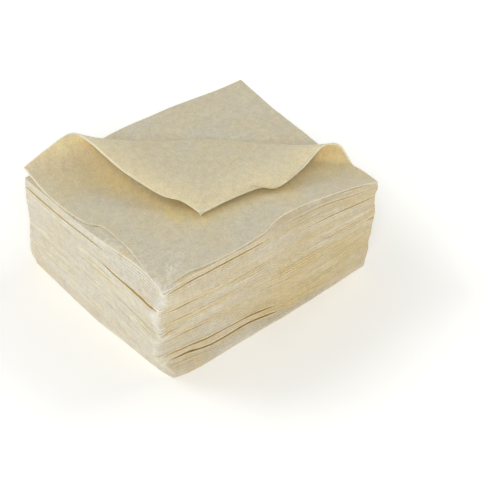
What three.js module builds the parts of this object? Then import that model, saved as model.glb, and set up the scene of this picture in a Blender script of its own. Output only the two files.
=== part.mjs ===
// A stack of thin rectangular dough wrappers. The sheets lie flat on each other,
// and the top one is folded over, so that its far corner points at the near one.
// Millimetres. X runs along the long side, Z is up, and the origin is at the
// middle of the bottom. The near corner is at -X -Y and the far one at +X +Y.
import * as THREE from 'three';

// Driving sizes of the sheets and of the stack.
const long = 90; // side along X
const short = 73.8; // side along Y
const thick = 0.69; // one sheet of dough
const flatCount = 44; // sheets that lie flat
const pitch = 0.8375; // from one sheet to the next
const edgeZone = 9; // how far in from its edge a sheet bends at a crevice
const creviceReach = 10; // how many sheets on each side of a crevice bend with it
const creviceEnd = 10; // over what length along a side a crevice closes
const cornerPull = 0.35; // how far the cut corners are rounded in
const cornerSharpness = 8; // how close to the corner that rounding stays
const handScatter = 0.36; // how far apart the edges of neighbouring sheets may lie
const centring = [-0.86, -0.82]; // moves the middle of the uneven stack to the origin
// The sheets are not quite square cut: how far each corner lies off its nominal place.
const cornerOffsets = { near: [0, 0.9], left: [-0.3, 1.6], right: [-0.3, -0.5], far: [3.8, -0.6] };

// How each side of the stack stands out (or in, where negative) around some places
// along it, at the bottom and at the top of the stack. Growth 1 leads evenly from one
// to the other, and more keeps most of the change for the upper sheets.
const swells = {
  left: [
    { at: 4, width: 36, bottom: 0.7, top: 0.6, growth: 2 },
    { at: -23, width: 13, bottom: 0, top: -1.9, growth: 11 },
  ],
  front: [
    { at: 5, width: 42, bottom: 1.9, top: -0.6, growth: 2.5 },
    { at: -30, width: 11, bottom: 1, top: 0, growth: 0.6 },
    { at: -4, width: 9, bottom: -0.5, top: 0, growth: 0.6 },
    { at: 18, width: 15, bottom: 0, top: -3.2, growth: 5 },
    { at: 8, width: 6, bottom: 0, top: -1.2, growth: 7 },
    { at: 6, width: 8, bottom: 0, top: -1.7, growth: 25 },
    { at: 24, width: 12, bottom: 0, top: -0.7, growth: 25 },
  ],
  right: [
    { at: -8, width: 26, bottom: 0, top: -2.9, growth: 3 },
    { at: 20, width: 13, bottom: 0, top: -1.1, growth: 3 },
  ],
  back: [{ at: 8, width: 30, bottom: 1.8, top: 3.1, growth: 3 }],
};

// Waves of the cut edges, which drift along from sheet to sheet.
const edgeWaves = [{ size: 0.23, length: 62, drift: 0.25 }, { size: 0.1, length: 28, drift: 0.7 }];

// Corners of whole bundles of sheets that are drawn off their place. Each draw begins
// and ends between the sheets with these numbers.
const cornerDraws = {
  near: [
    { begins: [4, 9], ends: [32, 40], shift: [-1.2, 1.1] },
    { begins: [-1, 0], ends: [2, 7], shift: [1, -2.6] },
    { begins: [10, 12], ends: [20, 23], shift: [-0.8, 0.8] },
    { begins: [27, 28], ends: [33, 34], shift: [-0.7, 0.6] },
  ],
  left: [{ begins: [-1, 0], ends: [0, 5], shift: [0.7, -1.6] }],
  right: [
    { begins: [-1, 0], ends: [0, 28], shift: [-1.6, 1.9] },
    { begins: [37, 42], ends: [60, 61], shift: [1.25, -1.05] },
  ],
};

// How the soft stack settles. The near corner droops most between these heights, and
// a little more the higher a sheet lies.
const droop = { depth: 1.15, begins: [4, 20], ends: [27, 36], reach: 22, slope: 0.012, slopeReach: 6 };
// On the left, close to that corner, a bundle of sheets rides up over the ones below.
const raise = { height: 1.2, begins: [21, 26], ends: [29, 36], reach: 6, fades: [-6, 10] };
// The lowest sheets are pressed thin along the front, which begins between these
// places along X, and they bulge up by the near corner.
const press = {
  bulge: { height: 0.4, at: -38, width: 8 },
  first: { depth: 0.6, begins: [-36, -26] },
  second: { depth: 1.6, begins: [-14, 4], easesBy: 0.6, eases: [20, 42] },
  sheets: { begins: [0, 7], ends: [11, 27] },
  reach: 10,
};
// Right of the middle the upper sheets stand a little higher at the front.
const lift = { height: 0.7, begins: [20, 32], at: 24, width: 14, reach: 9 };

// Lines of the grid that bends a flat sheet, as shares of half a side.
const linesAlongX = [-1, -0.8, -0.53, -0.27, 0, 0.27, 0.53, 0.8, 1];
const linesAlongY = [-1, -0.756, -0.3, 0.3, 0.756, 1];

// Crevices, where a bundle of sheets has come away from the one below it. Each
// opens between the sheet with this number and the next, on the sides that it names,
// from the first place to the second along the side.
const crevices = [
  { sheet: 7, front: { from: -48, to: 6, open: 0.85 } },
  { sheet: 10, front: { from: -53, to: 6, open: 0.55 } },
  { sheet: 15, left: { from: -30, to: 0, open: 0.3 }, back: { from: -20, to: 40, open: 0.5 } },
  { sheet: 18, front: { from: -50, to: -24, open: 0.4 } },
  { sheet: 23, left: { from: -48, to: -9, open: 0.6 } },
  { sheet: 27, right: { from: -45, to: 5, open: 0.7 }, front: { from: -47, to: -27, open: 0.35 } },
  { sheet: 32, front: { from: -47, to: -27, open: 0.5 } },
  { sheet: 33, left: { from: -46, to: -2, open: 0.7 } },
  { sheet: 37, front: { from: 10, to: 50, open: 0.35 }, back: { from: -50, to: 10, open: 0.6 } },
  { sheet: 40, left: { from: -10, to: 45, open: 0.9 } },
  { sheet: 42, front: { from: -53, to: 2, open: 0.65 }, right: { from: -10, to: 45, open: 0.5 } },
  { sheet: 42, front: { from: 6, to: 45, open: 0.3 } },
];

// The folded sheet. Its upper face lies at this height where it lies flat.
const foldedTop = 37.6;
const foldedColumns = 16; // strips across the fold
const flatRows = 12; // rows from the near corner to the two lifted corners
const curledRows = 20; // rows from there over the fold to the tip
const foldSink = 6.5; // how fast the raised ends of the fold sink towards its middle
const tipSink = 2.4; // the same near the tip
const tipBegins = 0.46; // share of the way over the fold where the first gives way
const tipSettled = 0.93; // and where the second has taken over
const middleFlatness = 4; // how evenly low the middle of the fold lies
const bowFlatness = 1.4; // how evenly the fold is pushed back between its ends
const normalStep = 0.004; // share of the sheet over which its slope is taken
const endMargin = 0.03; // no slope is taken closer to the two pointed ends

// Points on the folded sheet's outline, as places along X and Y and height above
// its flat part. Both outlines start at the near corner and end at the tip.
const nearCorner = [-44.8, -35.5, 0];
const tip = [-13.3, -15.3, 2.2];
const leftCorner = [-45.4, 38.8, 3.6];
const rightCorner = [44.3, -38.2, 0.1];
const leftSide = [
  nearCorner, [-43.7, -27, 0], [-41.4, -15, 0], [-40.8, -6, 0], [-41.2, 1, 0],
  [-44.2, 6, 0], [-45.4, 17, 0], [-45.4, 29, 0.5], leftCorner,
];
const frontSide = [
  nearCorner, [-39.6, -34.4, 0], [-33, -34.3, 0], [-24, -35.2, 0], [-12, -35.2, 0],
  [-2, -34.4, 0], [3.2, -32.4, 0], [9, -31.3, 0], [18, -32.2, 0], [28, -34.2, 0],
  [38, -36.2, 0], rightCorner,
];
const leftCurl = [
  leftCorner, [-38, 38.5, 6.8], [-31.9, 38.3, 8.8], [-28, 38.2, 9.7],
  [-25.7, 36.8, 10], [-24.6, 33.6, 9.8], [-24.2, 28.2, 9.6], [-24.3, 19, 8.9],
  [-23.2, 10.8, 7.3], [-19.1, -1.7, 4.1], [-15.2, -7.6, 3.2], tip,
];
const rightCurl = [
  rightCorner, [44.3, -31.7, 0.5], [43.7, -26.8, 1], [43.2, -24, 3.8],
  [42.2, -21.8, 6.6], [39.9, -20.1, 7.7], [35, -19.6, 7.9], [25.7, -21, 4.6],
  [15.7, -21, 1.9], [11.6, -17.5, 1.6], [5, -16.5, 2], tip,
];
// What the middle of the fold adds to the mean of both outlines, at the same
// places: how far it is pushed towards the far corner, and its height.
const middlePush = [0, 4, 6.8, 8.4, 8.8, 8, 6, 3.4, 1.5, 0.6, 0.2, 0];
const middleRise = [0, 0, 0, 0.4, 1.4, 2.3, 2.7, 2.8, 2.7, 2.5, 2, 0];
const pushDirection = [0.75, 0.66];

const paleDough = new THREE.Color(0xe3dcc3);
const warmDough = new THREE.Color(0xdccfa6);

// A repeatable number from -0.5 to 0.5 for each sheet and each use.
function scatter(number, use) {
  const wave = Math.sin(number * 12.9898 + use * 78.233) * 43758.5453;
  return wave - Math.floor(wave) - 0.5;
}

function smooth(from, to, value) {
  return THREE.MathUtils.smoothstep(value, from, to);
}

// How far the edge of a flat sheet lies outside the nominal line of its side.
function sideShift(name, sheet, along) {
  const number = Object.keys(swells).indexOf(name) + 1;
  let shift = handScatter * scatter(sheet, number);
  for (const swell of swells[name]) {
    const reach = THREE.MathUtils.lerp(swell.bottom, swell.top, (sheet / flatCount) ** swell.growth);
    shift += reach * Math.exp(-(((along - swell.at) / swell.width) ** 2));
  }
  for (const wave of edgeWaves) {
    shift += wave.size * Math.sin((2 * Math.PI * along) / wave.length + wave.drift * sheet + number);
  }
  return shift;
}

// How far a corner of a flat sheet is drawn off its place, along X and Y.
function cornerDraw(name, sheet) {
  const shift = [0, 0];
  for (const draw of cornerDraws[name] ?? []) {
    const share = smooth(...draw.begins, sheet) * (1 - smooth(...draw.ends, sheet));
    shift[0] += draw.shift[0] * share;
    shift[1] += draw.shift[1] * share;
  }
  return shift;
}

// How wide a crevice stands open at a place, from its edge inwards.
function opening(crevice, x, y) {
  const sides = [
    [crevice.left, y, x + long / 2],
    [crevice.front, x, y + short / 2],
    [crevice.right, y, long / 2 - x],
    [crevice.back, x, short / 2 - y],
  ];
  let widest = 0;
  for (const [side, along, inwards] of sides) {
    if (side) {
      const fade = smooth(side.from, side.from + creviceEnd, along)
        * (1 - smooth(side.to - creviceEnd, side.to, along));
      const depth = THREE.MathUtils.clamp(1 - inwards / edgeZone, 0, 1);
      widest = Math.max(widest, side.open * fade * depth);
    }
  }
  return widest;
}

// Height of a flat sheet's lower face at a place. The sheets under a crevice sink
// and those over it rise, less and less with the distance from it, and the lowest
// sheet stays flat.
function sheetHeight(sheet, x, y) {
  let height = (sheet - 1) * pitch;
  for (const crevice of crevices) {
    const open = opening(crevice, x, y);
    const sunk = open * Math.min(0.5, crevice.sheet / flatCount);
    if (sheet <= crevice.sheet) {
      const share = (sheet - 1) / (crevice.sheet - 1);
      height -= sunk * share * Math.exp((sheet - crevice.sheet) / creviceReach);
    } else {
      height += (open - sunk) * Math.exp((crevice.sheet + 1 - sheet) / creviceReach);
    }
  }
  return height;
}

// A value that falls off on both sides of a place.
function hump(value, at, width) {
  return Math.exp(-(((value - at) / width) ** 2));
}

// How high a place settles that would lie at this height in an even stack.
function settled(x, y, height) {
  const away = Math.hypot(x - nearCorner[0], y - nearCorner[1]);
  const fromFront = Math.max(0, y + short / 2);
  const fromLeft = Math.max(0, x + long / 2);
  const droops = droop.depth * smooth(...droop.begins, height) * (1 - smooth(...droop.ends, height))
    * hump(away, 0, droop.reach) + droop.slope * height * hump(away, 0, droop.slopeReach);
  const raised = raise.height * smooth(...raise.begins, height) * (1 - smooth(...raise.ends, height))
    * Math.exp(-fromLeft / raise.reach) * (1 - smooth(...raise.fades, y));
  const { bulge, first, second, sheets } = press;
  const bulges = bulge.height * hump(x, bulge.at, bulge.width)
    - first.depth * smooth(...first.begins, x)
    - second.depth * smooth(...second.begins, x) * (1 - second.easesBy * smooth(...second.eases, x));
  const level = height / pitch;
  const pressed = bulges * smooth(...sheets.begins, level) * (1 - smooth(...sheets.ends, level))
    * Math.exp(-fromFront / press.reach);
  const lifted = lift.height * smooth(...lift.begins, height) * hump(x, lift.at, lift.width)
    * Math.exp(-fromFront / lift.reach);
  return height - droops + raised + pressed + lifted;
}

// Place of a point of a flat sheet, from its shares of half the sides.
function sheetPlace(sheet, u, v) {
  const nominal = [(long / 2) * u, (short / 2) * v];
  const [left, right, front, back] = [(1 - u) / 2, (1 + u) / 2, (1 - v) / 2, (1 + v) / 2];
  const shares = { near: left * front, left: left * back, right: right * front, far: right * back };
  const place = [
    nominal[0] - sideShift('left', sheet, nominal[1]) * left ** 3
      + sideShift('right', sheet, nominal[1]) * right ** 3,
    nominal[1] - sideShift('front', sheet, nominal[0]) * front ** 3
      + sideShift('back', sheet, nominal[0]) * back ** 3,
  ];
  const rounding = cornerPull * Math.abs(u * v) ** cornerSharpness;
  place[0] -= rounding * Math.sign(u);
  place[1] -= rounding * Math.sign(v);
  for (const [name, share] of Object.entries(shares)) {
    const draw = cornerDraw(name, sheet);
    place[0] += cornerOffsets[name][0] * share + draw[0] * share ** 3;
    place[1] += cornerOffsets[name][1] * share + draw[1] * share ** 3;
  }
  return place;
}

// A closed thin solid from a grid of pairs of places, the upper and the lower one.
// Both faces are split into triangles alike, so stacked sheets don't cut each other,
// and places that coincide become one vertex.
function solidSheet(columns, rows, pairAt) {
  const positions = [];
  const known = new Map();
  function vertex(place) {
    const key = place.map((value) => value.toFixed(4)).join(' ');
    if (!known.has(key)) {
      known.set(key, positions.length / 3);
      positions.push(...place);
    }
    return known.get(key);
  }
  const grid = [];
  for (let row = 0; row <= rows; row += 1) {
    grid.push([]);
    for (let column = 0; column <= columns; column += 1) {
      grid[row].push(pairAt(column, row).map(vertex));
    }
  }
  const faces = [];
  function addFace(a, b, c) {
    if (a !== b && b !== c && c !== a) {
      faces.push(a, b, c);
    }
  }
  function addWall([upperA, lowerA], [upperB, lowerB]) {
    addFace(upperA, lowerA, lowerB);
    addFace(upperA, lowerB, upperB);
  }
  for (let row = 0; row < rows; row += 1) {
    for (let column = 0; column < columns; column += 1) {
      const [a, b] = [grid[row][column], grid[row][column + 1]];
      const [c, d] = [grid[row + 1][column + 1], grid[row + 1][column]];
      addFace(a[0], b[0], c[0]);
      addFace(a[0], c[0], d[0]);
      addFace(a[1], c[1], b[1]);
      addFace(a[1], d[1], c[1]);
    }
    addWall(grid[row + 1][0], grid[row][0]);
    addWall(grid[row][columns], grid[row + 1][columns]);
  }
  for (let column = 0; column < columns; column += 1) {
    addWall(grid[0][column], grid[0][column + 1]);
    addWall(grid[rows][column + 1], grid[rows][column]);
  }
  const geometry = new THREE.BufferGeometry();
  geometry.setAttribute('position', new THREE.Float32BufferAttribute(positions, 3));
  geometry.setIndex(faces);
  geometry.computeVertexNormals();
  return geometry;
}

function flatWrapper(sheet) {
  return solidSheet(linesAlongX.length - 1, linesAlongY.length - 1, (column, row) => {
    const [x, y] = sheetPlace(sheet, linesAlongX[column], linesAlongY[row]);
    const z = sheetHeight(sheet, x, y);
    return [[x, y, settled(x, y, z + thick)], [x, y, settled(x, y, z)]];
  });
}

// A smooth curve through the given places.
function curveThrough(places) {
  const points = places.map((place) => new THREE.Vector3(...place));
  return new THREE.CatmullRomCurve3(points, false, 'catmullrom', 0.5);
}

// One outline of the folded sheet at a share of the way from the near corner to
// the tip. The first part runs to the sheet's corner, the rest over the fold.
const cornerShare = flatRows / (flatRows + curledRows);

function outline(side, curl) {
  const sideCurve = curveThrough(side);
  const curlCurve = curveThrough(curl);
  return (share) => {
    if (share <= cornerShare) {
      return sideCurve.getPoint(share / cornerShare);
    }
    return curlCurve.getPoint((share - cornerShare) / (1 - cornerShare));
  };
}

const leftOutline = outline(leftSide, leftCurl);
const rightOutline = outline(frontSide, rightCurl);
const middleCurve = curveThrough(middlePush.map((push, i) => [push, middleRise[i], 0]));

// Middle surface of the folded sheet, across from left to right and along from
// the near corner to the tip.
function foldedPlace(across, along) {
  const left = leftOutline(along);
  const right = rightOutline(along);
  const overFold = Math.max(0, (along - cornerShare) / (1 - cornerShare));
  const middle = middleCurve.getPoint(overFold);
  const bow = 1 - Math.abs(2 * across - 1) ** bowFlatness;
  const plateau = 1 - Math.abs(2 * across - 1) ** middleFlatness;
  const x = left.x * (1 - across) + right.x * across + pushDirection[0] * middle.x * bow;
  const y = left.y * (1 - across) + right.y * across + pushDirection[1] * middle.x * bow;
  const sink = THREE.MathUtils.lerp(foldSink, tipSink, smooth(tipBegins, tipSettled, overFold));
  const z = left.z * (1 - across) ** sink + right.z * across ** sink + middle.y * plateau;
  const lifted = sheetHeight(flatCount + 1, x, y) - flatCount * pitch;
  return new THREE.Vector3(x, y, settled(x, y, foldedTop - thick / 2 + z + lifted));
}

function foldedNormal(across, along) {
  const a = THREE.MathUtils.clamp(across, normalStep, 1 - normalStep);
  const b = THREE.MathUtils.clamp(along, endMargin, 1 - endMargin);
  const acrossStep = foldedPlace(a + normalStep, b).sub(foldedPlace(a - normalStep, b));
  const alongStep = foldedPlace(a, b + normalStep).sub(foldedPlace(a, b - normalStep));
  return acrossStep.cross(alongStep).normalize();
}

// The rows close in to one point at the near corner and at the tip.
function foldedWrapper() {
  const rows = flatRows + curledRows;
  return solidSheet(foldedColumns, rows, (column, row) => {
    const across = row === 0 || row === rows ? 0.5 : column / foldedColumns;
    const place = foldedPlace(across, row / rows);
    const half = foldedNormal(across, row / rows).multiplyScalar(thick / 2);
    return [place.clone().add(half).toArray(), place.clone().sub(half).toArray()];
  });
}

const stack = new THREE.Group();

for (let sheet = 1; sheet <= flatCount; sheet += 1) {
  const tone = paleDough.clone().lerp(warmDough, 0.5 + scatter(sheet, 5));
  const material = new THREE.MeshStandardMaterial({ color: tone, roughness: 0.85, metalness: 0 });
  const wrapper = new THREE.Mesh(flatWrapper(sheet), material);
  wrapper.name = `wrapper_${String(sheet).padStart(2, '0')}`;
  stack.add(wrapper);
}

const foldedMaterial = new THREE.MeshStandardMaterial({ color: warmDough, roughness: 0.8, metalness: 0 });
const folded = new THREE.Mesh(foldedWrapper(), foldedMaterial);
folded.name = 'wrapper_folded';
stack.add(folded);
stack.position.set(...centring, 0);

export default stack;
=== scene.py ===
# A stack of thin wrappers of raw wheat dough, the top one folded over. Metres, Z up,
# in the frame's own axes: X along the long side, near corner at -X -Y.
import math
from types import SimpleNamespace as Sizes

import bmesh
import bpy
from mathutils import Matrix, Vector, noise


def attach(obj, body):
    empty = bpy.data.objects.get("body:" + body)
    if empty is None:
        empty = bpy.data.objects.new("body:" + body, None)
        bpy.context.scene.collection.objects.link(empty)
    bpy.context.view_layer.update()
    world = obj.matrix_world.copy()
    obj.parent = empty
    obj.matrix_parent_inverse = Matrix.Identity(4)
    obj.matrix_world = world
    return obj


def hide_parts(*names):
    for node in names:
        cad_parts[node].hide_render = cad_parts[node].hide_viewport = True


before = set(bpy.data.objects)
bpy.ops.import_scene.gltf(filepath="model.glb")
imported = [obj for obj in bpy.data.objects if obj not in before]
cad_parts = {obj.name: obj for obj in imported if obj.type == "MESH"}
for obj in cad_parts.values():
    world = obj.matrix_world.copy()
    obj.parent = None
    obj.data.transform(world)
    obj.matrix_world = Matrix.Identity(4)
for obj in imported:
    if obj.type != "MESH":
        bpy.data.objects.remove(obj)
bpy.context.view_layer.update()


# Camera. It looks down on the near corner, as the photographer did, and its lens is
# shifted, because the stack lies left of the middle of the picture.
def make_camera():
    image_width = 498  # of the photograph, in its pixels
    focal = 1596  # focal length in those pixels
    shift = (0.0932, 0.0273)
    azimuth = math.radians(-39.1)
    elevation = math.radians(40.9)
    distance = 0.558
    target = Vector((-0.00086, -0.00082, 0))
    back = Vector((
        math.sin(azimuth) * math.cos(elevation),
        -math.cos(azimuth) * math.cos(elevation),
        math.sin(elevation),
    ))
    right = Vector((math.cos(azimuth), math.sin(azimuth), 0))
    lens = bpy.data.cameras.new("camera")
    lens.sensor_fit = "HORIZONTAL"
    lens.sensor_width = 36
    lens.lens = focal * lens.sensor_width / image_width
    lens.shift_x, lens.shift_y = shift
    camera = bpy.data.objects.new("camera", lens)
    turn = Matrix((right, back.cross(right), back)).transposed().to_4x4()
    camera.matrix_world = Matrix.Translation(target + back * distance) @ turn
    bpy.context.collection.objects.link(camera)
    bpy.context.scene.camera = camera


make_camera()


# Studio floor. A seamless sheet of matt white card, wide enough to fill the picture. It
# glows, as painted light that keeps it white, and glows less near the stack, a painted soft shadow round its
# foot.
def linear(code):
    """A colour from its sRGB hex code."""
    parts = [int(code[i:i + 2], 16) / 255 for i in (1, 3, 5)]
    return (*[p / 12.92 if p <= 0.04045 else ((p + 0.055) / 1.055) ** 2.4 for p in parts], 1)


def put(tree, kind, values=(), links=(), **settings):
    """Adds a node with its settings, its socket values and its links."""
    node = tree.nodes.new(kind)
    for name, value in settings.items():
        setattr(node, name, value)
    for socket, value in dict(values).items():
        node.inputs[socket].default_value = value
    for socket, output in dict(links).items():
        tree.links.new(output, node.inputs[socket])
    return node


def make_floor():
    size = 3.0
    near_glow, far_glow = 0.23, 0.45
    near_reach, far_reach = 0.052, 0.12
    bm = bmesh.new()
    bmesh.ops.create_grid(bm, x_segments=4, y_segments=4, size=size)
    mesh = bpy.data.meshes.new("floor")
    bm.to_mesh(mesh)
    bm.free()
    card = bpy.data.materials.new("white_card")
    card.use_nodes = True
    tree = card.node_tree
    shader = tree.nodes["Principled BSDF"]
    place = put(tree, "ShaderNodeTexCoord").outputs["Object"]
    away = put(tree, "ShaderNodeVectorMath", {}, {0: place}, operation="LENGTH")
    # Painted light and painted shadow: the glow is weaker near the stack.
    strength = put(
        tree, "ShaderNodeMapRange",
        {"From Min": near_reach, "From Max": far_reach, "To Min": near_glow, "To Max": far_glow},
        {"Value": away.outputs["Value"]}, interpolation_type="SMOOTHSTEP")
    tree.links.new(strength.outputs["Result"], shader.inputs["Emission Strength"])
    shader.inputs["Base Color"].default_value = linear("#F2F4F2")
    shader.inputs["Roughness"].default_value = 0.9
    shader.inputs["Specular IOR Level"].default_value = 0.2
    shader.inputs["Emission Color"].default_value = linear("#FFFFFF")
    mesh.materials.append(card)
    floor = bpy.data.objects.new("floor", mesh)
    bpy.context.collection.objects.link(floor)


make_floor()


# Studio light. White surroundings, and three wide softboxes, one behind the camera, one at
# the back left and one at the right, so that the sides of the stack come out lighter than its top.
def make_light(name, place, aim, size, power, tint):
    lamp = bpy.data.lights.new(name, "AREA")
    lamp.shape = "DISK"
    lamp.size = size
    lamp.energy = power
    lamp.color = linear(tint)[:3]
    light = bpy.data.objects.new(name, lamp)
    light.location = place
    light.rotation_euler = (Vector(place) - Vector(aim)).to_track_quat("Z", "Y").to_euler()
    bpy.context.collection.objects.link(light)


make_light("softbox_front", (-0.62, -0.76, 0.71), (0, 0, 0.02), 0.6, 5.05, "#FFF8EE")
make_light("softbox_back_left", (-0.49, 0.85, 0.71), (0, 0, 0.02), 0.6, 4.35, "#FFFFFF")
make_light("softbox_right", (0.98, 0.0, 0.71), (0, 0, 0.02), 0.6, 3.3, "#FFFCF4")

surroundings = bpy.data.worlds.new("studio")
surroundings.use_nodes = True
surroundings.node_tree.nodes["Background"].inputs["Color"].default_value = linear("#F9FBFF")
surroundings.node_tree.nodes["Background"].inputs["Strength"].default_value = 0.315
bpy.context.scene.world = surroundings
bpy.context.scene.view_settings.view_transform = "Standard"


# Dough. Wheat flour and water, rolled smooth, matt and faintly see-through, so that
# light spreads in it and warms its folds. The roll leaves a fine grain, and the flour
# that keeps the wrappers apart lies on it as a white bloom.
def wheat_dough(name, bright, pale, warm, deep, floured):
    cloud_size = 0.014
    mottle_size = 0.0024
    grain_size = 0.0006
    dust_size = 0.0011
    cloud_warmth = 0.12  # how far the clouds shift the warmth up or down
    darkest, lightest = 0.93, 1.07  # of the mottle and of the grain
    dust_contrast = 0.75
    flour_begins, flour_full, flour_cover = 0.3, 0.95, 0.9
    bare_roughness, floured_roughness = 0.62, 0.92
    middling = {"From Min": 0.3, "From Max": 0.7}  # where most values of a noise lie
    dough = bpy.data.materials.new(name)
    dough.use_nodes = True
    tree = dough.node_tree
    shader = tree.nodes["Principled BSDF"]
    place = put(tree, "ShaderNodeTexCoord").outputs["Object"]
    clouds = put(tree, "ShaderNodeTexNoise", {"Scale": 1 / cloud_size, "Detail": 3}, {"Vector": place})
    mottle = put(
        tree, "ShaderNodeTexNoise", {"Scale": 1 / mottle_size, "Detail": 4, "Roughness": 0.6},
        {"Vector": place})
    grain = put(
        tree, "ShaderNodeTexNoise", {"Scale": 1 / grain_size, "Detail": 3, "Roughness": 0.6},
        {"Vector": place})
    dust = put(
        tree, "ShaderNodeTexNoise", {"Scale": 1 / dust_size, "Detail": 5, "Roughness": 0.75},
        {"Vector": place})
    # Warmth is painted on the mesh, and wanders a little in clouds. A second painted number
    # mixes in a bright colour: pale dough, and painted light on lit rims, loops and flap edges.
    warmth = put(tree, "ShaderNodeAttribute", attribute_name="warmth")
    wander = put(
        tree, "ShaderNodeMapRange",
        {"From Min": 0.35, "From Max": 0.65, "To Min": -cloud_warmth, "To Max": cloud_warmth},
        {"Value": clouds.outputs["Fac"]})
    warmed = put(
        tree, "ShaderNodeMath", {}, {0: warmth.outputs["Fac"], 1: wander.outputs["Result"]},
        operation="ADD", use_clamp=True)
    tone = put(
        tree, "ShaderNodeMix", {6: linear(pale), 7: linear(warm)}, {0: warmed.outputs["Value"]},
        data_type="RGBA")
    thin = put(tree, "ShaderNodeAttribute", attribute_name="thin")
    lit = put(
        tree, "ShaderNodeMix", {7: linear(bright)}, {0: thin.outputs["Fac"], 6: tone.outputs[2]},
        data_type="RGBA")
    # Warmth above 1 turns the dough deep brown: its blotches and brown spot, and painted shade in crevices
    # and below the flap's edge near the tip.
    excess = put(
        tree, "ShaderNodeMath", {1: 1.0}, {0: warmth.outputs["Fac"]}, operation="SUBTRACT", use_clamp=True)
    deepened = put(
        tree, "ShaderNodeMix", {7: linear(deep)}, {0: excess.outputs["Value"], 6: lit.outputs[2]},
        data_type="RGBA")
    shade = put(
        tree, "ShaderNodeMapRange", {**middling, "To Min": darkest, "To Max": lightest},
        {"Value": mottle.outputs["Fac"]})
    fine_shade = put(
        tree, "ShaderNodeMapRange", {**middling, "To Min": darkest, "To Max": lightest},
        {"Value": grain.outputs["Fac"]})
    mottled = put(
        tree, "ShaderNodeVectorMath", {}, {0: deepened.outputs[2], 1: shade.outputs["Result"]},
        operation="MULTIPLY")
    grained = put(
        tree, "ShaderNodeVectorMath", {}, {0: mottled.outputs["Vector"], 1: fine_shade.outputs["Result"]},
        operation="MULTIPLY")
    # Flour too is painted, and breaks up into specks of dust.
    flour = put(tree, "ShaderNodeAttribute", attribute_name="flour")
    speckled = put(
        tree, "ShaderNodeMapRange", {**middling, "To Min": -dust_contrast, "To Max": dust_contrast},
        {"Value": dust.outputs["Fac"]})
    dusted = put(
        tree, "ShaderNodeMath", {}, {0: flour.outputs["Fac"], 1: speckled.outputs["Result"]},
        operation="ADD")
    cover = put(
        tree, "ShaderNodeMapRange",
        {"From Min": flour_begins, "From Max": flour_full, "To Max": flour_cover},
        {"Value": dusted.outputs["Value"]})
    surface = put(
        tree, "ShaderNodeMix", {7: linear(floured)},
        {0: cover.outputs["Result"], 6: grained.outputs["Vector"]}, data_type="RGBA")
    tree.links.new(surface.outputs[2], shader.inputs["Base Color"])
    matt = put(
        tree, "ShaderNodeMapRange", {"To Min": bare_roughness, "To Max": floured_roughness},
        {"Value": cover.outputs["Result"]})
    tree.links.new(matt.outputs["Result"], shader.inputs["Roughness"])
    relief = put(
        tree, "ShaderNodeMath", {}, {0: grain.outputs["Fac"], 1: mottle.outputs["Fac"]}, operation="ADD")
    bump = put(
        tree, "ShaderNodeBump", {"Strength": 0.3, "Distance": 0.0001}, {"Height": relief.outputs["Value"]})
    tree.links.new(bump.outputs["Normal"], shader.inputs["Normal"])
    shader.inputs["IOR"].default_value = 1.45
    shader.inputs["Specular IOR Level"].default_value = 0.3
    shader.inputs["Subsurface Weight"].default_value = 0.6
    shader.inputs["Subsurface Radius"].default_value = (1.0, 0.8, 0.5)
    shader.inputs["Subsurface Scale"].default_value = 0.0012
    return dough


rolled_dough = wheat_dough("rolled_dough", "#FAECC4", "#DBD5C1", "#E7D39E", "#BBA062", "#F7ECDD")
cut_dough = wheat_dough("cut_dough", "#FCF3D8", "#EBDEC8", "#E0C898", "#BC9D5E", "#F8EFE0")


# Flat wrappers. Each was rolled to under a millimetre and cut with a straight blade.
# They lie loose on each other, pressed flat by their weight, and near the edges some
# bundles have come away from the ones below.
mm = 0.001
long_side = 90.0
short_side = 73.8
sheet_thickness = 0.836
sheet_pitch = 0.8375
flat_count = 44
shelf_shift = (-0.86, -0.82)
corner_offsets = {"near": (0.0, 0.9), "left": (-0.3, 1.6), "right": (-0.3, -0.5), "far": (3.8, -0.6)}
# Middle, width, reach at the bottom and at the top of the stack, and growth upwards.
side_swells = {
    "left": ((4, 36, 0.7, 0.6, 2), (-23, 13, 0, -1.9, 11)),
    "front": (
        (5, 42, 1.9, -0.6, 2.5), (-30, 11, 1.0, 0, 0.6), (-4, 9, -0.5, 0, 0.6),
        (18, 15, 0, -3.2, 5), (8, 6, 0, -1.2, 7), (6, 8, 0, -1.7, 25), (24, 12, 0, -0.7, 25),
    ),
    "right": ((-8, 26, 0, -2.9, 3), (20, 13, 0, -1.1, 3)),
    "back": ((8, 30, 1.8, 3.1, 3),),
}
# Where the corners of whole bundles are drawn off their place: between which sheets
# the shift begins and ends, and how far it goes.
corner_draws = {
    "near": (
        ((4, 9), (32, 40), (-1.2, 1.1)), ((-1, 0), (2, 7), (1.0, -2.6)),
        ((10, 12), (20, 23), (-0.8, 0.8)), ((27, 28), (33, 34), (-0.7, 0.6)),
    ),
    "left": (((-1, 0), (0, 5), (0.7, -1.6)),),
    "right": (((-1, 0), (0, 28), (-1.6, 1.9)), ((37, 42), (60, 61), (1.25, -1.05))),
    "far": (),
}
# Waves of the cut edges: size, length, and how far they drift from sheet to sheet.
edge_waves = ((0.23, 62, 0.25), (0.1, 28, 0.7))
bundle_scatter, sheet_scatter = 0.25, 0.05  # how far bundles and single sheets lie off
bundle_waves, sheet_waves = (14, 3.2, 1), (9, 1 / 1.7, 1)  # along a side, and in sheets
edge_zone = 9.0  # how far in from its edge a sheet bends at a crevice
crevice_reach = 10.0  # how many sheets on each side of a crevice bend with it
crevice_end = 10.0  # over what length along a side a crevice closes
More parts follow.
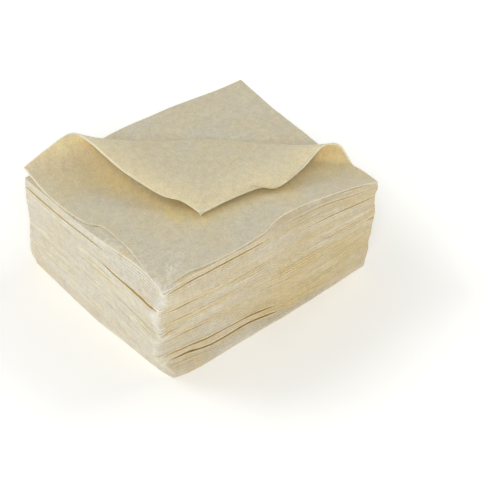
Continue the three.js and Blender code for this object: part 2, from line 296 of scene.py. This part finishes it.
# Sheet below the crevice, then for each side its start, its end and how wide it opens.
crevices = (
    (7, {"front": (-48, 6, 0.85)}),
    (10, {"front": (-53, 6, 0.55)}),
    (15, {"left": (-30, 0, 0.3), "back": (-20, 40, 0.5)}),
    (18, {"front": (-50, -24, 0.4)}),
    (23, {"left": (-48, -9, 0.6)}),
    (27, {"right": (-45, 5, 0.7), "front": (-47, -27, 0.35)}),
    (32, {"front": (-47, -27, 0.5)}),
    (33, {"left": (-46, -2, 0.7)}),
    (37, {"front": (10, 50, 0.35), "back": (-50, 10, 0.6)}),
    (40, {"left": (-10, 45, 0.9)}),
    (42, {"front": (-53, 2, 0.5), "right": (-10, 45, 0.5)}),
    (42, {"front": (6, 45, 0.3)}),
)
bundle_ends = (7, 10, 23, 33, 42)  # crevices that reach round the near corner
worn_corner = (-45, -36)  # where the stack has been handled most, by the near corner
front_line = -37
# At that corner each bundle is crushed back, and its lowest sheet sticks out. Ledge is
# over how many sheets that fades. The lowest sheets of the stack are blunt there instead.
crush = Sizes(depth=0.7, scatter=0.6, reach=1.4, ledge=1.3, least=0.01)
blunt = Sizes(depth=1.1, reach=3.5, sheets=(5, 8))
# How the soft stack settles. Waves lie over all of it.
sag = Sizes(depth=0.2, lengths=(17, 17, 9), begins=(0, 5))
# The near corner droops most between these heights, and a little more the higher it is.
droop = Sizes(depth=1.15, begins=(4, 20), ends=(27, 36), reach=22, slope=0.012, slope_reach=6)
# On the left, close to that corner, a bundle rides up over the ones below.
ride = Sizes(height=1.2, begins=(21, 26), ends=(29, 36), reach=6, fades=(-6, 10))
# Hands have crumpled the top of that corner, and its foot.
crumpled_top = Sizes(depth=0.4, lengths=(3, 3, 8), reach=14, begins=(20, 37))
crumpled_foot = Sizes(depth=0.9, lengths=(4, 4, 4), reach=5, begins=(0, 3))
# The lowest wrappers are pressed thin at the front, more so towards the middle, and
# bulge up by the near corner.
bulge = Sizes(height=0.4, at=-38, width=8)
first_press = Sizes(depth=0.6, begins=(-36, -26))
second_press = Sizes(depth=1.6, begins=(-14, 4), eased=0.6, eases=(20, 42))
press = Sizes(begins=(0, 7), ends=(11, 27), reach=10)
# Right of the middle the upper ones stand a little higher at the front.
lift = Sizes(height=0.7, begins=(20, 32), at=24, width=14, reach=9)
# Flour on top, in a web of arms that point away from the near corner. Each arm has its
# bearing and its width in degrees. The web has holes, and is thickest at its heart.
web = Sizes(
    origin=(-46, -37), arms=((37, 9), (78, 16)), least=0.1, arm=0.9, heart=0.7, heart_reach=6,
    holes=1.4, hole_size=2.6, small_holes=0.5, fades=(8, 27), begins=(36.3, 36.8))
# Flour, and with it a painted highlight, down the upper half of that corner's rounded edge;
# flour along the left of the top bundle, and all over.
flour_and_highlight_edge = Sizes(amount=0.85, reach=2.6, begins=(14, 26))
floury_band = Sizes(amount=0.5, begins=(31, 34), ends=(36.9, 37.3), inwards=(-41.5, -39.5), fades=(0, 25))
floury_all = Sizes(amount=0.1, lengths=(9, 9, 5))
# Where the two seen sides end inwards, and how warm the dough looks in general. The front
# side is painted warmer and the left side paler, painted light of a warmer and a cooler tint.
front_depth, left_depth = (-35.5, -33), (-44, -42)
usual = Sizes(warmth=0.2, front=0.3, front_begins=(-46, -43), left=-0.2)
# The front is warmer at its lower right, and there its lowest sheets are painted pale, as
# painted light below the overhang of the sheets above.
warm_right = Sizes(amount=0.34, begins=(-25, 5), ends=(16, 26))
painted_lit_foot = Sizes(amount=0.45, ends=(3, 5.5), begins=(-32, -20))
# The near corner has blotches at its foot, and above them its rounded edge is painted pale,
# a painted highlight; the left side has a warm foot at its far end.
blotches = Sizes(amount=2.2, between=-0.2, lengths=(4, 4, 3), ends=(2, 5), reach=9)
corner_highlight = Sizes(amount=0.9, reach=1.7, begins=(4, 8))
warm_foot = Sizes(amount=0.5, ends=(1.5, 5), begins=(20, 34))
# On the left, where the folded wrapper leaves the one below it bare, that one is pale
# and has a small brown-orange spot.
pale_strip = Sizes(amount=0.4, inwards=(-41.5, -39), fades=(-12, -2), begins=(36.5, 37))
brown_spot = Sizes(amount=1.3, at=-14.5, width=1.5, inwards=(-43, -41.5), begins=(35.6, 36.2))


def smooth(low, high, value):
    """A soft step, from 0 at the low place to 1 at the high one."""
    share = min(1.0, max(0.0, (value - low) / (high - low)))
    return share * share * (3 - 2 * share)


def between(begins, ends, value):
    """1 between two places, with a soft step up at the first and down at the second."""
    return smooth(*begins, value) * (1 - smooth(*ends, value))


def hump(value, middle, width):
    """1 at the middle, and less to both sides of it."""
    return math.exp(-(((value - middle) / width) ** 2))


def waver(x, y, z, lengths):
    """Soft noise between -1 and 1, with the lengths of its waves along the axes."""
    return noise.noise(Vector((x / lengths[0], y / lengths[1], z / lengths[2])))


def from_corner(x, y):
    return math.hypot(x - worn_corner[0], y - worn_corner[1])


def side_shift(name, sheet, along):
    """How far the edge of a flat wrapper stands out from the straight line of its side."""
    number = list(side_swells).index(name) + 1
    shift = 0.0
    for middle, width, bottom, top, growth in side_swells[name]:
        reach = bottom + (top - bottom) * (sheet / flat_count) ** growth
        shift += reach * hump(along, middle, width)
    for size, length, drift in edge_waves:
        shift += size * math.sin(2 * math.pi * along / length + drift * sheet + number)
    layer = 7 * number  # every side takes its noise from elsewhere
    bundle = waver(along, sheet, layer, bundle_waves)
    single = waver(along, sheet, layer + 3, sheet_waves)
    return shift + bundle_scatter * bundle + sheet_scatter * single


def corner_draw(name, sheet):
    """How far a corner of this sheet is drawn off along X and Y."""
    shift = [0.0, 0.0]
    for begins, ends, draw in corner_draws[name]:
        share = between(begins, ends, sheet)
        shift = [shift[axis] + draw[axis] * share for axis in (0, 1)]
    return shift


def opening(sides, x, y):
    """How wide a crevice stands open at a place."""
    widest = 0.0
    inwards = {
        "left": (y, x + long_side / 2), "front": (x, y + short_side / 2),
        "right": (y, long_side / 2 - x), "back": (x, short_side / 2 - y),
    }
    for name, (start, end, gap) in sides.items():
        along, depth = inwards[name]
        if depth < edge_zone and start < along < end:
            fade = between((start, start + crevice_end), (end - crevice_end, end), along)
            widest = max(widest, gap * fade * smooth(0, 1, 1 - depth / edge_zone))
    return widest


def sheet_height(sheet, x, y):
    """Height of a flat wrapper's lower face above the floor."""
    height = (sheet - 1) * sheet_pitch
    for below, sides in crevices:
        gap = opening(sides, x, y)
        sunk = gap * min(0.5, below / flat_count)
        if sheet <= below:
            height -= sunk * (sheet - 1) / (below - 1) * math.exp((sheet - below) / crevice_reach)
        else:
            height += (gap - sunk) * math.exp((below + 1 - sheet) / crevice_reach)
    return height


def sheet_place(level, x, y):
    """Where a point of the cut wrapper lies in the stack, at a level counted in sheets."""
    u, v = 2 * x / long_side, 2 * y / short_side
    left, right, front, back = ((1 - u) / 2, (1 + u) / 2, (1 - v) / 2, (1 + v) / 2)
    shares = {"near": left * front, "left": left * back, "right": right * front, "far": right * back}
    place = [
        x - side_shift("left", level, y) * left ** 3 + side_shift("right", level, y) * right ** 3,
        y - side_shift("front", level, x) * front ** 3 + side_shift("back", level, x) * back ** 3,
    ]
    for name, share in shares.items():
        draw = corner_draw(name, level)
        for axis in (0, 1):
            place[axis] += corner_offsets[name][axis] * share + draw[axis] * share ** 3
    away = math.hypot(x + long_side / 2, y + short_side / 2)
    crushed = math.exp(-away / crush.reach)
    sheet = round(level)
    if crushed > crush.least:
        lowest = max([end + 1 for end in bundle_ends if end < sheet], default=1)
        inwards = crush.depth * (1 - math.exp((lowest - sheet) / crush.ledge)) * smooth(*blunt.sheets, sheet)
        for axis, layer in enumerate(((3.3, 0.2), (8.1, 5.7))):
            off = crush.scatter * noise.noise(Vector((sheet / 3, *layer)))
            place[axis] += crushed * (inwards + off)
    blunted = blunt.depth * (1 - smooth(*blunt.sheets, sheet)) * math.exp(-away / blunt.reach)
    return [value + blunted for value in place]


def settle(x, y, z):
    """The soft dough's own unevenness, which lies over the whole stack, in metres."""
    level = z / sheet_pitch
    away = from_corner(x, y)
    from_left, from_front = x - worn_corner[0], y - front_line
    height = z + sag.depth * waver(x, y, z, sag.lengths) * smooth(*sag.begins, z)
    height -= droop.slope * z * hump(away, 0, droop.slope_reach)
    height -= droop.depth * between(droop.begins, droop.ends, z) * hump(away, 0, droop.reach)
    ridden = ride.height * between(ride.begins, ride.ends, z)
    height += ridden * math.exp(-from_left / ride.reach) * (1 - smooth(*ride.fades, y))
    crumple = crumpled_top.depth * waver(x, y, z, crumpled_top.lengths)
    height += crumple * hump(away, 0, crumpled_top.reach) * smooth(*crumpled_top.begins, z)
    crumple = crumpled_foot.depth * waver(x, y, z, crumpled_foot.lengths)
    height += crumple * math.exp(-away / crumpled_foot.reach) * smooth(*crumpled_foot.begins, z)
    pressed = bulge.height * hump(x, bulge.at, bulge.width)
    pressed -= first_press.depth * smooth(*first_press.begins, x)
    easing = 1 - second_press.eased * smooth(*second_press.eases, x)
    pressed -= second_press.depth * smooth(*second_press.begins, x) * easing
    height += pressed * between(press.begins, press.ends, level) * math.exp(-from_front / press.reach)
    lifted = lift.height * smooth(*lift.begins, z) * hump(x, lift.at, lift.width)
    height += lifted * math.exp(-from_front / lift.reach)
    return Vector((x + shelf_shift[0], y + shelf_shift[1], height)) * mm


def flour_at(x, y, z):
    """How much flour lies at a place of the stack."""
    away = from_corner(x, y)
    bearing = math.degrees(math.atan2(y - web.origin[1], x - web.origin[0]))
    arm = web.least + web.arm * max(hump(bearing, *sizes) for sizes in web.arms)
    arm += web.heart * hump(away, 0, web.heart_reach)
    holes = abs(waver(x, y, 3, (web.hole_size, web.hole_size, 1)))
    holes += web.small_holes * abs(waver(x, y, 8, (1, 1, 1)))
    on_top = arm * (1 - web.holes * holes) * (1 - smooth(*web.fades, away)) * smooth(*web.begins, z)
    # Flour and a painted highlight down the near corner's rounded edge.
    on_edge = flour_and_highlight_edge.amount * hump(away, 0, flour_and_highlight_edge.reach) * smooth(*flour_and_highlight_edge.begins, z)
    on_band = floury_band.amount * between(floury_band.begins, floury_band.ends, z)
    on_band *= (1 - smooth(*floury_band.inwards, x)) * (1 - smooth(*floury_band.fades, y))
    all_over = floury_all.amount * waver(x, y, z, floury_all.lengths)
    return max(0.0, max(on_top, on_edge, on_band) + all_over)


def warmth_at(x, y, z):
    """How warm the dough looks at a place of the stack, from 0, pale, to 1 and above."""
    away = from_corner(x, y)
    front = 1 - smooth(*front_depth, y)
    left = (1 - smooth(*left_depth, x)) * (1 - front)
    # The front side is painted warmer and the left side paler, as painted light.
    warmth = usual.warmth + usual.front * front * smooth(*usual.front_begins, x) + usual.left * left
    warmth += warm_right.amount * front * smooth(*warm_right.begins, x) * (1 - smooth(*warm_right.ends, z))
    # Painted light at the front's foot, below the overhang.
    warmth -= painted_lit_foot.amount * front * smooth(*painted_lit_foot.begins, x) * (1 - smooth(*painted_lit_foot.ends, z))
    blotch = blotches.amount * max(0.0, waver(x, y, z, blotches.lengths)) + blotches.between
    warmth += blotch * (1 - smooth(*blotches.ends, z)) * hump(away, 0, blotches.reach)
    # A painted highlight down the near corner's rounded edge.
    warmth -= corner_highlight.amount * hump(away, 0, corner_highlight.reach) * smooth(*corner_highlight.begins, z)
    warmth += warm_foot.amount * left * smooth(*warm_foot.begins, y) * (1 - smooth(*warm_foot.ends, z))
    bare = (1 - smooth(*pale_strip.inwards, x)) * (1 - smooth(*pale_strip.fades, y))
    warmth -= pale_strip.amount * bare * smooth(*pale_strip.begins, z)
    spot_mask = hump(y, brown_spot.at, brown_spot.width) * (1 - smooth(*brown_spot.inwards, x))
    return warmth + brown_spot.amount * spot_mask * smooth(*brown_spot.begins, z)


def paint(mesh, marks):
    """Writes three numbers for each vertex as attributes of the mesh."""
    for index, name in enumerate(("flour", "warmth", "thin")):
        layer = mesh.attributes.new(name, "FLOAT", "POINT")
        layer.data.foreach_set("value", [mark[index] for mark in marks])


def cut_sheet(rings):
    """One flat wrapper as it was cut, with soft edges, the cut edge as its second material."""
    corner_radius = 0.45
    edge_step = 0.95
    edge_softness = 0.07
    bm = bmesh.new()
    bmesh.ops.create_grid(bm, x_segments=1, y_segments=1, size=0.5)
    bmesh.ops.scale(bm, vec=(long_side, short_side, 1), verts=bm.verts)
    bmesh.ops.bevel(
        bm, geom=bm.verts[:], offset=corner_radius, segments=3, profile=0.5, affect="VERTICES", material=-1)
    straight = [e for e in bm.edges if e.calc_length() > 5 * corner_radius]
    for edge in straight:
        bmesh.ops.subdivide_edges(bm, edges=[edge], cuts=round(edge.calc_length() / edge_step) - 1)
    bm.faces.ensure_lookup_table()
    middle = bm.faces[0]
    previous = 0.0
    for ring in rings:
        bmesh.ops.inset_individual(bm, faces=[middle], thickness=0)
        narrower = (
            (long_side - 2 * ring) / (long_side - 2 * previous),
            (short_side - 2 * ring) / (short_side - 2 * previous),
            1,
        )
        bmesh.ops.scale(bm, vec=narrower, verts=middle.verts)
        previous = ring
    bmesh.ops.recalc_face_normals(bm, faces=bm.faces)
    bmesh.ops.solidify(bm, geom=bm.faces[:], thickness=sheet_thickness)
    bm.normal_update()
    lowest = min(vertex.co.z for vertex in bm.verts)
    bmesh.ops.translate(bm, vec=(0, 0, -lowest), verts=bm.verts)
    for face in bm.faces:
        face.material_index = int(abs(face.normal.z) < 0.5)
        face.smooth = True
    sharp = [e for e in bm.edges if len({face.material_index for face in e.link_faces}) == 2]
    bmesh.ops.bevel(
        bm, geom=sharp, offset=edge_softness, segments=2, profile=0.5, affect="EDGES", material=1)
    return bm


# How the cut edges change: over what length along a side, how fast from sheet to
# sheet, and where in the noise each change is taken from.
edge_changes = {
    "drag": (20, 1 / 1.7, 6.1), "tone": (30, 1 / 2.6, 1.5), "own_tone": (22, 1.31, 9.5),
    "parted": (17, 0.91, 4.4), "streak": (7, 2.3, 12.5),
}
# The blade drags the soft edges together, so that most run on into the next. The top
# bundle is dragged less where it fans out, left of the near corner, and more at the right.
edge_drag = Sizes(usual=0.7, changes=0.8, most=0.98)
fan = Sizes(less=0.7, sheets=(37, 39), inwards=-40, fades=(-12, 0))
top_drag = Sizes(amount=0.6, sheets=(34, 36), begins=(-10, 0))
# Each cut edge has its own tone, and some have a pale streak. The tones differ more on
# the left side, which lies beyond this line.
left_line = -42
edge_tone = Sizes(shared=0.25, own=0.2, more_on_left=0.25, sheets=(4, 8))
edge_streak = Sizes(amount=0.6, begins=(0.38, 0.48), sheets=(10, 14))
# Here and there an edge has come away from the sheet below it, which looks warm.
parting = Sizes(
    gap=0.17, more_on_left=0.08, warmth=0.5, begins=(0.04, 0.3), away=(4, 10), sheets=(5, 8),
    less=0.8, top_sheets=(35, 38))


def edge_noise(kind, along, sheet):
    """Soft noise between -1 and 1 along a cut edge."""
    length, pace, layer = edge_changes[kind]
    return noise.noise(Vector((along / length, sheet * pace, layer)))


def drag(along, sheet, x, y):
    """How far the blade has dragged an edge towards its neighbours, 1 where they meet."""
    amount = edge_drag.usual + edge_drag.changes * edge_noise("drag", along, sheet)
    if x < fan.inwards:
        amount *= 1 - fan.less * smooth(*fan.sheets, sheet) * (1 - smooth(*fan.fades, y))
    amount += top_drag.amount * smooth(*top_drag.sheets, sheet) * smooth(*top_drag.begins, x)
    return min(edge_drag.most, max(0.0, amount))


def edge_look(along, sheet, x, y, upper_half):
    """What a cut edge adds to the dough's warmth, and how far its lower half has risen."""
    on_left = float(x < left_line)
    own = (edge_tone.own + edge_tone.more_on_left * on_left) * smooth(*edge_tone.sheets, sheet)
    warmth = edge_tone.shared * edge_noise("tone", along, sheet)
    warmth += own * edge_noise("own_tone", along, sheet)
    if upper_half:
        streak = smooth(*edge_streak.begins, edge_noise("streak", along, sheet))
        return warmth - edge_streak.amount * streak * smooth(*edge_streak.sheets, sheet), 0.0
    parted = smooth(*parting.begins, edge_noise("parted", along, sheet))
    parted *= smooth(*parting.away, from_corner(x, y)) * smooth(*parting.sheets, sheet)
    parted *= 1 - parting.less * smooth(*parting.top_sheets, sheet)
    return warmth + parting.warmth * parted, (parting.gap + parting.more_on_left * on_left) * parted


def stack_wrapper(sheet, blank):
    """Lays a copy of a cut wrapper into the stack."""
    edge_depth, crevice_depth = 0.3, 5
    crevice_shade, full_opening = 1.5, 0.45
    bm = blank.copy()
    marks = []
    for vertex in bm.verts:
        flat = vertex.co.copy()
        depth = min(long_side / 2 - abs(flat.x), short_side / 2 - abs(flat.y))
        along = flat.x - flat.y
        level = sheet + (flat.z / sheet_thickness - 0.5) * drag(along, sheet, flat.x, flat.y)
        x, y = sheet_place(level, flat.x, flat.y)
        z = sheet_height(sheet, x, y) + flat.z
        flour = flour_at(flat.x, flat.y, z)
        warmth = warmth_at(flat.x, flat.y, z)
        # Inside a crevice the dough is painted warm, and deep brown where it opens wide: painted shade,
        # warmed as by light that comes through the dough.
        if edge_depth < depth < crevice_depth:
            lower_face = flat.z < sheet_thickness / 2
            for below, sides in crevices:
                if sheet == below + lower_face:
                    warmth += crevice_shade * min(1.0, opening(sides, x, y) / full_opening)
        if depth < edge_depth:
            added, risen = edge_look(along, sheet, x, y, flat.z >= sheet_thickness / 2)
            warmth += added
            z += risen
        # Below 0 the warmth mixes in the bright colour: pale dough and streaks, and painted light at the
        # front's foot and down the near corner's edge.
        marks.append((flour, warmth, max(0.0, -warmth)))
        vertex.co = settle(x, y, z)
    name = f"wrapper_{sheet:02d}"
    mesh = bpy.data.meshes.new(f"dough_{name}")
    bm.to_mesh(mesh)
    paint(mesh, marks)
    bm.free()
    mesh.materials.append(rolled_dough)
    mesh.materials.append(cut_dough)
    piece = bpy.data.objects.new(f"dough_{name}", mesh)
    bpy.context.collection.objects.link(piece)
    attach(piece, "root")
    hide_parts(name)


hidden_rings = (0.4, 1.2, 3, 6, 10)
blank_sheet = cut_sheet(hidden_rings)
for sheet in range(1, flat_count):
    stack_wrapper(sheet, blank_sheet)
blank_sheet.free()


# Top flat wrapper. The same rolled and cut dough as the ones below it. Its far half
# shows behind the fold, so its face has more rings of points.
shown_rings = [0.4, 1.2] + [2 + 1.7 * step for step in range(20)]
top_sheet = cut_sheet(shown_rings)
stack_wrapper(flat_count, top_sheet)
top_sheet.free()


# Folded wrapper. The same dough, but its far corner has been lifted and laid forward.
# The fold stays round, and its two ends stand up as open loops.
folded_top = 37.5  # height of its upper face where it lies flat
folded_thickness = 0.7
folded_segments = 150
fold_sink, tip_sink = 6.5, 2.4  # how fast the ends of the fold sink towards its middle
tip_begins, tip_settled = 0.46, 0.93  # share of the way where the second takes over
middle_flatness = 4
bow_flatness = 1.4
# Points on its outline, as places along X and Y and height above its flat part. The
# sides start at the near corner, and the curls lead from the ends of the fold to the tip.
near_end = (-44.8, -35.5, 0)
left_end = (-45.4, 38.8, 3.6)
right_end = (44.3, -38.2, 0.1)
flap_tip = (-13.3, -15.3, 2.2)
left_side = (
    near_end, (-43.7, -27, 0), (-41.4, -15, 0), (-40.8, -6, 0), (-41.2, 1, 0), (-44.2, 6, 0),
    (-45.4, 17, 0), (-45.4, 29, 0.5), left_end,
)
front_side = (
    near_end, (-39.6, -34.4, 0), (-33, -34.3, 0), (-24, -35.2, 0), (-12, -35.2, 0),
    (-2, -34.4, 0), (3.2, -32.4, 0), (9, -31.3, 0), (18, -32.2, 0), (28, -34.2, 0),
    (38, -36.2, 0), right_end,
)
left_curl = (
    left_end, (-38, 38.5, 6.8), (-31.9, 38.3, 8.8), (-28, 38.2, 9.7),
    (-25.7, 36.8, 10.0), (-24.6, 33.6, 9.8), (-24.2, 28.2, 9.6), (-24.3, 19, 8.9),
    (-23.2, 10.8, 7.3), (-19.1, -1.7, 4.1), (-15.2, -7.6, 3.2), flap_tip,
)
right_curl = (
    right_end, (44.3, -31.7, 0.5), (43.7, -26.8, 1), (43.2, -24, 3.8),
    (42.2, -21.8, 6.6), (39.9, -20.1, 7.7), (35, -19.6, 7.9), (25.7, -21, 4.6),
    (15.7, -21, 1.9), (11.6, -17.5, 1.6), (5, -16.5, 2), flap_tip,
)
# What the middle of the fold adds to the mean of both curls, at the same places: how
# far it is pushed towards the far corner, and its height.
middle_push = (0, 4, 6.8, 8.4, 8.8, 8, 6, 3.4, 1.5, 0.6, 0.2, 0)
middle_rise = (0, 0, 0, 0.4, 1.4, 2.3, 2.7, 2.8, 2.7, 2.5, 2, 0)
middle_curl = tuple((push, rise, 0) for push, rise in zip(middle_push, middle_rise))
push_direction = (0.75, 0.66)


def along_curve(points, share):
    """A point on the smooth curve through the given points."""
    position = min(max(share, 0), 1) * (len(points) - 1)
    index = min(int(position), len(points) - 2)
    t = position - index
    start, end = Vector(points[index]), Vector(points[index + 1])
    before = Vector(points[index - 1]) if index else 2 * start - end
    after = Vector(points[index + 2]) if index + 2 < len(points) else 2 * end - start
    leave, arrive = (end - before) / 2, (after - start) / 2
    return (
        start * (2 * t ** 3 - 3 * t ** 2 + 1) + leave * (t ** 3 - 2 * t ** 2 + t)
        + end * (3 * t ** 2 - 2 * t ** 3) + arrive * (t ** 3 - t ** 2)
    )


def folded_place(s, t):
    """Middle surface of the folded wrapper, at shares of its sides from the near corner."""
    way = s + t
    if way <= 1:
        across = s / way if way > 0 else 0.5
        left, right = along_curve(left_side, way), along_curve(front_side, way)
        middle = Vector((0, 0, 0))
        over_fold = 0
    else:
        across = (1 - t) / (2 - way) if way < 2 else 0.5
        left, right = along_curve(left_curl, way - 1), along_curve(right_curl, way - 1)
        middle = along_curve(middle_curl, way - 1)
        over_fold = way - 1
    bow = 1 - abs(2 * across - 1) ** bow_flatness
    plateau = 1 - abs(2 * across - 1) ** middle_flatness
    sink = fold_sink + (tip_sink - fold_sink) * smooth(tip_begins, tip_settled, over_fold)
    x = left.x * (1 - across) + right.x * across + push_direction[0] * middle.x * bow
    y = left.y * (1 - across) + right.y * across + push_direction[1] * middle.x * bow
    z = left.z * (1 - across) ** sink + right.z * across ** sink + middle.y * plateau
    lifted = sheet_height(flat_count + 1, x, y) - flat_count * sheet_pitch
    return Vector((x, y, folded_top - folded_thickness / 2 + z + lifted))


def edge_distance(x, y):
    """How far a place lies from the nearest edge of the flap, seen from above."""
    nearest = 99.0
    place = Vector((x, y))
    for edge in (left_curl, right_curl):
        for start, end in zip(edge[5:], edge[6:]):
            begin = Vector(start[:2])
            way = Vector(end[:2]) - begin
            share = min(1.0, max(0.0, (place - begin).dot(way) / way.length_squared))
            nearest = min(nearest, (begin + way * share - place).length)
    return nearest


# Share of the way over the fold between which the sheet counts as curled.
curl_begins = (0.95, 1.2)
# Below the flap's edges the dough is painted warm, painted shade warmed as by light that
# comes through the flap; less so where the loops are open, at the back and at the right.
under_flap_shade = Sizes(
    warmth=0.65, less=0.3, back=(12, 30), reach=5, more_reach=8, further=(5, 30),
    less_right=0.6, right=(20, 30), less_curled=0.3)
# The outside of the flap is warm in patches, and painted lighter towards its edges, painted light where it
# curves towards the lamps.
flap = Sizes(warmth=0.3, patches=0.12, patch_size=9, patch_begins=(0.05, 0.45), thin=0.62, reach=11)
inner_warmth = 0.2
# Painted shade on the floor, as warmer places: in the left loop, and left of the tip below the flap's edge.
shaded_floors = (
    Sizes(amount=0.25, middle=(-39, 28), size=(6, 8)),
    Sizes(amount=0.5, middle=(-19.5, -9.5), size=(3, 4)),
)
# Painted warm light inside the right loop, as light that comes through the dough.
right_loop_warm_light = Sizes(amount=0.25, begins=(25, 33))
# Places that are lit through: the rim, the right loop's floor and the left one's wall.
lit_rim = Sizes(amount=0.8, reach=6, less=0.75, right=(22, 32))
lit_floor = Sizes(amount=0.7, middle=(36, -22), size=(7, 3.5), ends=(40, 42))
lit_wall = Sizes(amount=0.3, begins=(-30, -24), back=(16, 24))
# The cut edge. Flour has been brushed off where it is curled, and there the edge is painted light, as light
# that comes through the thin rim.
cut_edge = Sizes(flour=0.1, warmth=0.1, thin=0.1, thin_curled=0.85)
# The near corner is pressed down onto the wrapper below it.
pressed_corner = Sizes(depth=0.55, at=-36, width=14, inwards=(-42, -36))


def patch(x, y, place):
    """1 at the middle of a place, and less around it."""
    return hump(x, place.middle[0], place.size[0]) * hump(y, place.middle[1], place.size[1])


def inner_look(x, y, z, curled, rim):
    """Warmth and painted light of the face that lines the loops and shows around the flap, with painted
    shade below the flap's edges.
    """
    # Painted shade below the flap's edges, warmed as by light that comes through the flap.
    reach = under_flap_shade.reach + under_flap_shade.more_reach * smooth(*under_flap_shade.further, y)
    shade_below_edge = (under_flap_shade.warmth - under_flap_shade.less * smooth(*under_flap_shade.back, y)) * hump(edge_distance(x, y), 0, reach)
    shade_below_edge *= 1 - under_flap_shade.less_right * smooth(*under_flap_shade.right, x) * (1 - curled)
    warmth = inner_warmth + shade_below_edge * (1 - under_flap_shade.less_curled * curled)
    # Painted shade on the floor in the left loop and left of the tip.
    warmth += sum(place.amount * patch(x, y, place) for place in shaded_floors)
    # Painted warm light inside the right loop.
    warmth += right_loop_warm_light.amount * curled * smooth(*right_loop_warm_light.begins, x)
    on_rim = lit_rim.amount * curled * hump(rim, 0, lit_rim.reach)
    on_rim *= 1 - lit_rim.less * smooth(*lit_rim.right, x)
    on_floor = lit_floor.amount * patch(x, y, lit_floor) * (1 - smooth(*lit_floor.ends, z))
    on_wall = lit_wall.amount * curled * smooth(*lit_wall.begins, x) * smooth(*lit_wall.back, y)
    return warmth, max(on_rim, on_floor, on_wall)


def outer_look(x, y):
    """Warmth and painted light of the other face, which is the flap's outside."""
    patches = noise.noise(Vector((x / flap.patch_size, y / flap.patch_size, 6.5)))
    warmth = flap.warmth + flap.patches * smooth(*flap.patch_begins, patches)
    return warmth, flap.thin * hump(edge_distance(x, y), 0, flap.reach)


def make_folded_wrapper():
    edge_softness = 0.13
    bm = bmesh.new()
    bmesh.ops.create_grid(bm, x_segments=folded_segments, y_segments=folded_segments, size=0.5)
    number = bm.verts.layers.int.new("number")
    ways = []
    rims = []
    for vertex in bm.verts:
        vertex[number] = vertex.index
        s, t = 0.5 + vertex.co.x, 0.5 + vertex.co.y
        ways.append(s + t)
        rims.append(short_side * (1 - max(s, t)))
        vertex.co = folded_place(s, t)
    bm.normal_update()
    halves = [vertex.normal * folded_thickness / 2 for vertex in bm.verts]
    middles = [vertex.co.copy() for vertex in bm.verts]
    for vertex, half in zip(bm.verts, halves):
        vertex.co += half
    bmesh.ops.solidify(bm, geom=bm.faces[:], thickness=folded_thickness)
    # The cut edge is where both sides of a face come from the same two points.
    for face in bm.faces:
        face.material_index = int(len({vertex[number] for vertex in face.verts}) == 2)
        face.smooth = True
    sharp = [e for e in bm.edges if len({face.material_index for face in e.link_faces}) == 2]
    bmesh.ops.bevel(
        bm, geom=sharp, offset=edge_softness, segments=2, profile=0.5, affect="EDGES", material=1)
    marks = []
    for vertex in bm.verts:
        x, y, z = vertex.co
        index = vertex[number]
        curled = smooth(*curl_begins, ways[index])
        flour = flour_at(x, y, z)
        if any(face.material_index for face in vertex.link_faces):
            flour = (flour + cut_edge.flour) * (1 - curled)
            warmth, thin = cut_edge.warmth, cut_edge.thin + cut_edge.thin_curled * curled
        elif (vertex.co - middles[index]).dot(halves[index]) > 0:
            warmth, thin = inner_look(x, y, z, curled, rims[index])
        else:
            warmth, thin = outer_look(x, y)
        marks.append((flour, warmth, thin))
        pressed = hump(y, pressed_corner.at, pressed_corner.width) * (1 - curled)
        pressed *= pressed_corner.depth * (1 - smooth(*pressed_corner.inwards, x))
        vertex.co = settle(x, y, z - pressed)
    mesh = bpy.data.meshes.new("dough_folded")
    bm.to_mesh(mesh)
    paint(mesh, marks)
    bm.free()
    mesh.materials.append(rolled_dough)
    mesh.materials.append(cut_dough)
    piece = bpy.data.objects.new("dough_folded", mesh)
    bpy.context.collection.objects.link(piece)
    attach(piece, "root")
    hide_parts("wrapper_folded")


make_folded_wrapper()
